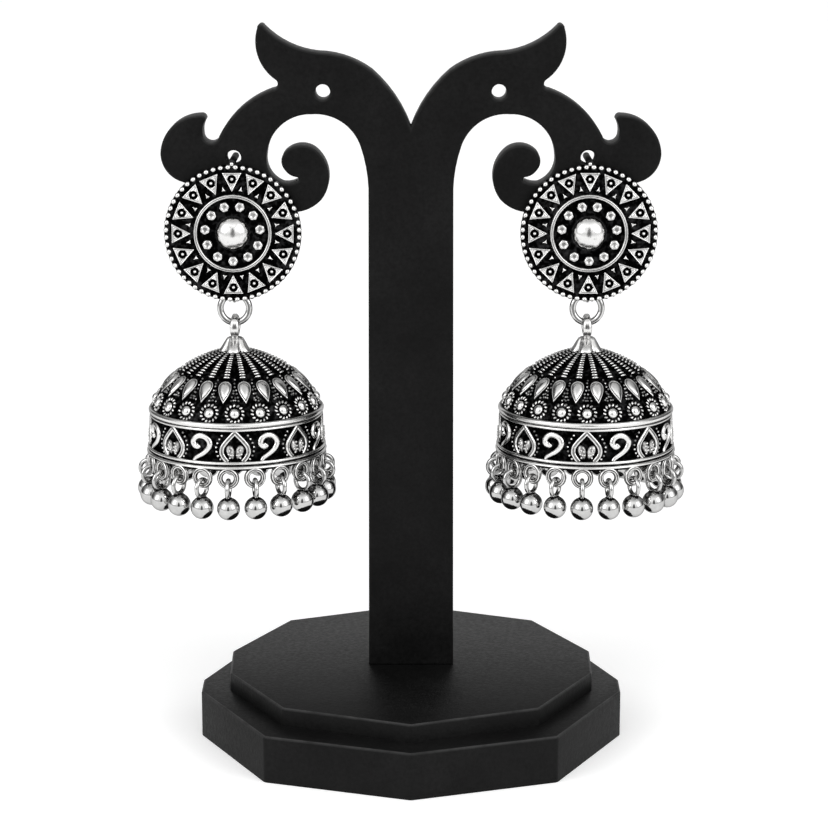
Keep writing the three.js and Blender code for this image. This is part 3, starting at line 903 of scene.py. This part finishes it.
def fixed_rings(heap, drop_turn):
    """The ridged rings soldered under the bell's rim."""
    f = FIXED_RING
    a = circle(f["sides"])
    wave = np.cos(2 * f["ridges"] * a)
    ridged = f["wire"] * (1 - f["ridge"] + f["ridge"] * wave)
    ring = hoop(f["radius"], np.column_stack([ridged * np.cos(a), ridged * np.sin(a)]), f["steps"], "xz")
    middle, swing = f["polish_and_shade"]
    polish_and_shade = np.tile(np.clip(middle + swing * wave, 0, 1), f["steps"])
    for angle in circle(DROPS, drop_turn):
        heap.add(ring, polish_and_shade, about_axis(angle, f["circle"], f["z"]))


def bell(side, out, turn, drop_turn):
    """The bell of one earring with all that is fixed to it, apart from its cap."""
    heap = Heap()
    dome = dome_skin()
    bell_shell(heap, dome)
    ribs_and_petals(heap, dome, turn)
    rosettes(heap, dome, turn)
    band(heap, turn)
    fixed_rings(heap, drop_turn)
    mesh = heap.mesh(side + "_bell_body", (out * EARRING_OUT, RING_Y, 0))
    show(side + "_bell_body", mesh, SILVER, side + "_drop_bell", "oxidised_silver", side + "_bell")


def cap(side, out):
    """The petalled cap of one bell, with the eye that stands on it."""
    heap = Heap()
    turn = circle(CAP["sides"])
    lobes = np.abs(np.cos((turn - CAP["turn"]) * CAP["lobes"] / 2)) ** CAP["slit_power"]
    top = CAP_ROWS[-1][1]
    rows, polish_and_shade = [], []
    for radius, z, value in CAP_ROWS:
        open_share = min(1.0, (top - z) / CAP["open_over"])
        slit = 1 - (1 - CAP["slit"]) * (1 - lobes) * open_share
        depth = 1 - CAP["thin"] * max(0.0, z - CAP["thin_from"]) / (top - CAP["thin_from"])
        out_x, out_y = radius * slit * np.sin(turn), -radius * slit * depth * np.cos(turn)
        rows.append(np.stack([out_x, out_y, np.full(len(turn), z)], -1))
        polish_and_shade.append(value * np.where(lobes > CAP["dark_below"], 1.0, 1 - open_share))
    heap.add(loft(rows), np.concatenate([*polish_and_shade, CAP["end_polish"]]))
    e = EYE
    a = circle(e["sides"])
    dent = 1 - e["groove"] * np.exp(-((np.cos(a) - 1) / e["groove_width"]) ** 2)
    section = np.column_stack([e["wire"] * np.cos(a) * dent, np.sin(a)])
    points, quads, tris = hoop(e["radius"], section, e["steps"], "yz")
    facing = points[:, 1] ** 2 / (points[:, 1] ** 2 + points[:, 2] ** 2)
    points[:, 0] *= e["end_width"] + (e["half_width"] - e["end_width"]) * facing
    # Darker at the eye's left and right sides: painted shade along its edges.
    shine_and_shade = np.tile(1 - e["edge_shade"] * np.abs(np.sin(a)) ** e["edge_shade_power"], e["steps"])
    heap.add((points, quads, tris), shine_and_shade, shifted(0, 0, e["z"]))
    mesh = heap.mesh(side + "_cap_petals", (out * EARRING_OUT, RING_Y, 0))
    show(side + "_cap_petals", mesh, SILVER, side + "_drop_bell", "oxidised_silver", side + "_cap")


def jump_ring(side, out):
    """The ring between disc and bell, with painted shade in a dark line round each face and on its darker
    inner and outer rims.
    """
    heap = Heap()
    j = JUMP_RING
    a = circle(j["sides"])
    line = np.exp(-(np.cos(a) / j["line"]) ** 2)
    section = round_section(1.0, j["sides"]) * (j["wire"] * (1 - j["groove"] * line))[:, None]
    rim_shade = j["rim_shade_level"] - np.abs(np.cos(a)) ** j["rim_shade_power"]
    polish_and_shade = np.minimum(1 - j["line_shade"] * line, rim_shade)
    heap.add(hoop(j["radius"], section, j["steps"], "xz"), np.tile(polish_and_shade, j["steps"]))
    mesh = heap.mesh(side + "_jump_ring", (out * EARRING_OUT, RING_Y, RING_Z))
    show(side + "_jump_ring", mesh, BRIGHT, side + "_link", "polished_silver", side + "_ring")


def ball_slot():
    """The dark slot on top of a ball, where its loop goes in."""
    a = circle(SLOT["sides"])
    edge = np.stack([SLOT["across"] * np.cos(a), SLOT["along"] * np.sin(a)], -1)
    rows = []
    for share, lift in SLOT_ROWS:
        level = np.sqrt((BALL["radius"] + lift) ** 2 - ((edge * share) ** 2).sum(1))
        rows.append(np.column_stack([edge * share, level]))
    return loft(rows)


def bead_drops(side, out, drop_turn):
    """All the bead drops of one bell: a loop, a polished ball and its dark slot each."""
    heap = Heap()
    loop = wire_hoop(DROP_LOOP, "yz")
    middle, swing = DROP_LOOP["polish_and_shade"]
    # Darker at the loop's left and right sides: painted shade along its edges.
    loop_side_shade = np.tile(middle + swing * np.abs(np.cos(circle(DROP_LOOP["sides"]))), DROP_LOOP["steps"])
    globe = stretched(ball(BALL["sides"], BALL["rows"]), (BALL["radius"],) * 3)
    slot = ball_slot()
    for angle in circle(DROPS, drop_turn):
        twist = rng.normal(0, LOOP_TURN_SPREAD)
        heap.add(loop, loop_side_shade, about_axis(angle, DROP_CIRCLE, DROP_LOOP["z"], twist))
        heap.add(globe, BALL["polish_and_shade"], about_axis(angle, DROP_CIRCLE, BALL["z"]))
        heap.add(slot, SLOT["polish_and_shade"], about_axis(angle, DROP_CIRCLE, BALL["z"], twist))
    mesh = heap.mesh(side + "_bead_drops", (out * EARRING_OUT, RING_Y, 0))
    show(
        side + "_bead_drops", mesh, BRIGHT, side + "_drop_bell", "polished_silver",
        *[f"{side}_drop_{k:02d}" for k in range(1, DROPS + 1)],
    )


def arc(start, middle, end):
    """Points along the circle through three points, the start left out."""
    (ax, ay), (bx, by), (cx, cy) = start, middle, end
    d = 2 * (ax * (by - cy) + bx * (cy - ay) + cx * (ay - by))
    a2, b2, c2 = ax * ax + ay * ay, bx * bx + by * by, cx * cx + cy * cy
    ux = (a2 * (by - cy) + b2 * (cy - ay) + c2 * (ay - by)) / d
    uy = (a2 * (cx - bx) + b2 * (ax - cx) + c2 * (bx - ax)) / d
    radius = math.hypot(ax - ux, ay - uy)
    first, via, last = (math.atan2(y - uy, x - ux) for x, y in (start, middle, end))
    sweep = (last - first) % TURN
    if (via - first) % TURN > sweep:
        sweep -= TURN
    count = max(ARC_LEAST_STEPS, math.ceil(abs(sweep) / ARC_STEP))
    return [
        (ux + radius * math.cos(first + sweep * k / count), uy + radius * math.sin(first + sweep * k / count))
        for k in range(1, count + 1)
    ]


def board_outline():
    """The board's outline: one half from the crest round to the foot of the column, then its mirror."""
    half = [BOARD_START]
    for mid_x, mid_z, x, z in BOARD_ARCS:
        half += arc(half[-1], (mid_x, mid_z), (x, z))
    half.append(COLUMN_FOOT)
    return half + [(-x, z) for x, z in half[:0:-1]]


def board():
    """The cut board with softened edges and its four holes."""
    curve = bpy.data.curves.new("board_outline", "CURVE")
    curve.dimensions = "2D"
    curve.fill_mode = "BOTH"
    curve.extrude = (BOARD_THICKNESS / 2 - BOARD_EDGE) * MM
    curve.bevel_depth = BOARD_EDGE * MM
    curve.bevel_resolution = BOARD_EDGE_STEPS
    curve.offset = -BOARD_EDGE * MM
    loops = [board_outline()]
    hole = round_section(HOLE_RADIUS, HOLE_POINTS)
    for out, z in HOLES:
        loops += [hole + (hand * out, z) for hand in (-1, 1)]
    for points in loops:
        spline = curve.splines.new("POLY")
        spline.points.add(len(points) - 1)
        spline.use_cyclic_u = True
        for target, (x, z) in zip(spline.points, points):
            target.co = (x * MM, z * MM, 0, 1)
    shape = bpy.data.objects.new("board_outline", curve)
    mesh = bpy.data.meshes.new_from_object(shape)
    bpy.data.objects.remove(shape)
    mesh.transform(Euler((math.pi / 2, 0, 0)).to_matrix().to_4x4())
    finish_hard(mesh)
    wear_and_highlight_edges(mesh, AXIS_Y)
    show("stand_board", mesh, BLACK, "stand", "black_board", "display_board")


def finish_hard(mesh):
    """Welds a mesh, turns its faces outward and shades it smooth between its sharp edges."""
    work = bmesh.new()
    work.from_mesh(mesh)
    bmesh.ops.remove_doubles(work, verts=work.verts, dist=WELD)
    bmesh.ops.recalc_face_normals(work, faces=work.faces)
    work.to_mesh(mesh)
    work.free()
    mesh.shade_smooth()
    mesh.set_sharp_from_angle(angle=SHARP_ANGLE)


def wear_and_highlight_edges(mesh, axis):
    """Marks the softened edges of the faces across an axis as worn and lit, by how far they look up: edge
    wear with a painted highlight from above.
    """
    least, most = WORN_LIT_LEAN
    values = mesh.attributes.new("wear_and_highlight", "FLOAT", "FACE")
    for face, value in zip(mesh.polygons, values.data):
        if least < abs(face.normal[axis]) < most:
            value.value = max(0, face.normal.z)


def step(name, plan, levels, stood_for):
    """One step of the base, with its upper and upright edges softened."""
    low, high = levels
    outline = list(plan) + [(-x, y) for x, y in plan[-2:0:-1]]
    work = bmesh.new()
    floor_ring = [work.verts.new((x * MM, y * MM, low * MM)) for x, y in outline]
    top_ring = [work.verts.new((x * MM, y * MM, high * MM)) for x, y in outline]
    work.faces.new(floor_ring)
    work.faces.new(top_ring)
    for k in range(len(outline)):
        work.faces.new((floor_ring[k - 1], floor_ring[k], top_ring[k], top_ring[k - 1]))
    bmesh.ops.recalc_face_normals(work, faces=work.faces)
    edges = [e for e in work.edges if not all(v in floor_ring for v in e.verts)]
    bmesh.ops.bevel(
        work, geom=edges, offset=STEP_EDGE * MM, segments=STEP_EDGE_SEGMENTS, profile=STEP_EDGE_PROFILE,
        affect="EDGES",
    )
    mesh = bpy.data.meshes.new(name)
    work.to_mesh(mesh)
    work.free()
    finish_hard(mesh)
    wear_and_highlight_edges(mesh, AXIS_Z)
    show(name, mesh, BLACK, "stand", "black_board", stood_for)


def floor():
    """A plain floor just under the stand."""
    mesh = bpy.data.meshes.new("floor")
    near, far, half = -FLOOR_FRONT, FLOOR_HALF, FLOOR_HALF
    corners = [(x, y, -FLOOR_DROP) for x, y in ((-half, near), (half, near), (half, far), (-half, far))]
    mesh.from_pydata(corners, [], [(0, 1, 2, 3)])
    made = bpy.data.objects.new("floor", mesh)
    mesh.materials.append(pale_floor())
    bpy.context.scene.collection.objects.link(made)


def softbox(name, hand):
    """A soft light in front of the stand, on its left (-1) or right (1)."""
    light = bpy.data.lights.new(name, "AREA")
    light.shape = "RECTANGLE"
    light.size, light.size_y, light.energy = SOFTBOX["width"], SOFTBOX["height"], SOFTBOX["power"]
    made = bpy.data.objects.new(name, light)
    x, y, z = SOFTBOX["place"]
    place = Vector((hand * x, y, z))
    made.location = place
    made.rotation_euler = (Vector(SOFTBOX["aim"]) - place).to_track_quat("-Z", "Y").to_euler()
    bpy.context.scene.collection.objects.link(made)


def camera():
    """The photograph's view."""
    data = bpy.data.cameras.new("camera")
    data.sensor_width = SENSOR
    data.lens = FOCAL_PIXELS / IMAGE_SIDE * SENSOR
    data.clip_start = CAMERA_NEAR
    made = bpy.data.objects.new("camera", data)
    back = Vector((0, -math.cos(CAMERA_PITCH), math.sin(CAMERA_PITCH)))
    made.location = (Vector(CAMERA_AIM) + back * CAMERA_DISTANCE) * MM
    made.rotation_euler = (math.pi / 2 - CAMERA_PITCH, 0, 0)
    bpy.context.scene.collection.objects.link(made)
    bpy.context.scene.camera = made


def sine_share(tree, value):
    """A socket's value from -1 to 1, as a share from 0 to 1."""
    return maths(tree, "MULTIPLY_ADD", value, 0.5, 0.5)


def sky(tree, height, levels):
    """A ramp of light over height, given as the sine of the angle above the floor."""
    return ramp(tree, height, [((rise + 1) / 2, level) for rise, level in levels])


def oval(tree, direction, form):
    """A soft oval about a direction, from its outside level to its inside one."""
    place = node(tree, "ShaderNodeMapping", Vector=direction)
    place.inputs["Scale"].default_value = [1 / half for half in form["half"]]
    place.inputs["Location"].default_value = [-c / half for c, half in zip(form["centre"], form["half"])]
    shade = node(tree, "ShaderNodeTexGradient", Vector=place.outputs["Vector"])
    shade.gradient_type = "SPHERICAL"
    return ramp(tree, shade.outputs["Fac"], form["levels"])


def studio():
    """Light from the front and above, dim behind, so that metal shows its shape; seen itself it is pale."""
    world = bpy.data.worlds.new("studio")
    world.use_nodes = True
    tree = world.node_tree
    direction = tree.nodes.new("ShaderNodeTexCoord").outputs["Generated"]
    split = node(tree, "ShaderNodeSeparateXYZ", Vector=direction)
    height = sine_share(tree, split.outputs["Z"])
    ahead = ramp(tree, sine_share(tree, split.outputs["Y"]), SKY_CHANGE)
    front = maths(tree, "MULTIPLY", sky(tree, height, FRONT_SKY), oval(tree, direction, FIGURE))
    back = maths(tree, "MAXIMUM", sky(tree, height, BACK_SKY), oval(tree, direction, CARD))
    level = maths(tree, "MULTIPLY_ADD", maths(tree, "SUBTRACT", front, back), ahead, back)
    dome = tree.nodes["Background"]
    tree.links.new(level, dome.inputs["Color"])
    dome.inputs["Strength"].default_value = SKY_STRENGTH
    pale = node(tree, "ShaderNodeBackground", Strength=1.0)
    pale.inputs["Color"].default_value = WHITE
    seen = tree.nodes.new("ShaderNodeLightPath").outputs["Is Camera Ray"]
    mix = tree.nodes.new("ShaderNodeMixShader")
    for source, socket in zip((seen, dome.outputs[0], pale.outputs[0]), mix.inputs):
        tree.links.new(source, socket)
    tree.links.new(mix.outputs[0], tree.nodes["World Output"].inputs["Surface"])
    bpy.context.scene.world = world


SILVER = oxidised_silver()
BRIGHT = polished_silver()
BLACK = black_board()

board()
step("stand_base_lower", LOWER_PLAN, LOWER_STEP, "base_lower")
step("stand_base_upper", UPPER_PLAN, UPPER_STEP, "base_upper")
for side, out, turn, drop_turn in SIDES:
    disc(side, out)
    jump_ring(side, out)
    bell(side, out, turn, drop_turn)
    cap(side, out)
    bead_drops(side, out, drop_turn)

floor()
softbox("left_light", -1)
softbox("right_light", 1)
camera()
studio()
bpy.context.scene.view_settings.view_transform = "Standard"
